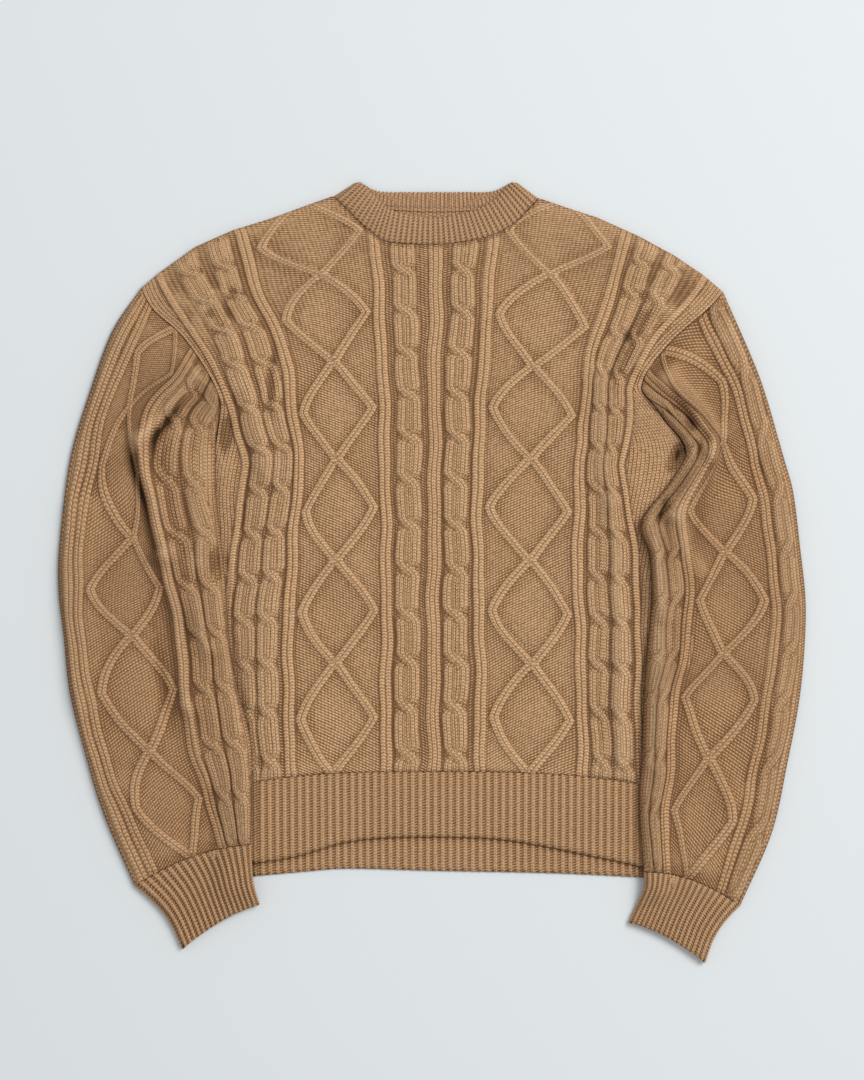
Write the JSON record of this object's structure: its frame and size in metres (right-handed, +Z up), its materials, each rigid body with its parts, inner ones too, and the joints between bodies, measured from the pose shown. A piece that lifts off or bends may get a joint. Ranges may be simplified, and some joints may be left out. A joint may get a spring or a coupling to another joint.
{
  "type": "cable knit sweater",
  "caption": "Crew-neck cable knit sweater laid flat on its back, with ribbed hem, cuffs and neckband and its sleeves lying along its sides.",
  "frame": {"origin": "middle of the sweater's outline, on the surface it lies on", "axes": "+X to the viewer's right, +Y toward the collar, +Z up from the surface, through the cloth"},
  "size_m": [0.7097, 0.742, 0.0247],
  "materials": {
    "camel_knit": "matte",
    "camel_rib": "matte"
  },
  "bodies": {
    "root": {"back": "camel_knit", "front": "camel_knit", "hem_back": "camel_rib", "hem_front": "camel_rib", "sleeve_left": "camel_knit", "sleeve_right": "camel_knit", "cuff_left": "camel_rib", "cuff_right": "camel_rib", "neckband": "camel_rib"}
  },
  "joints": []
}
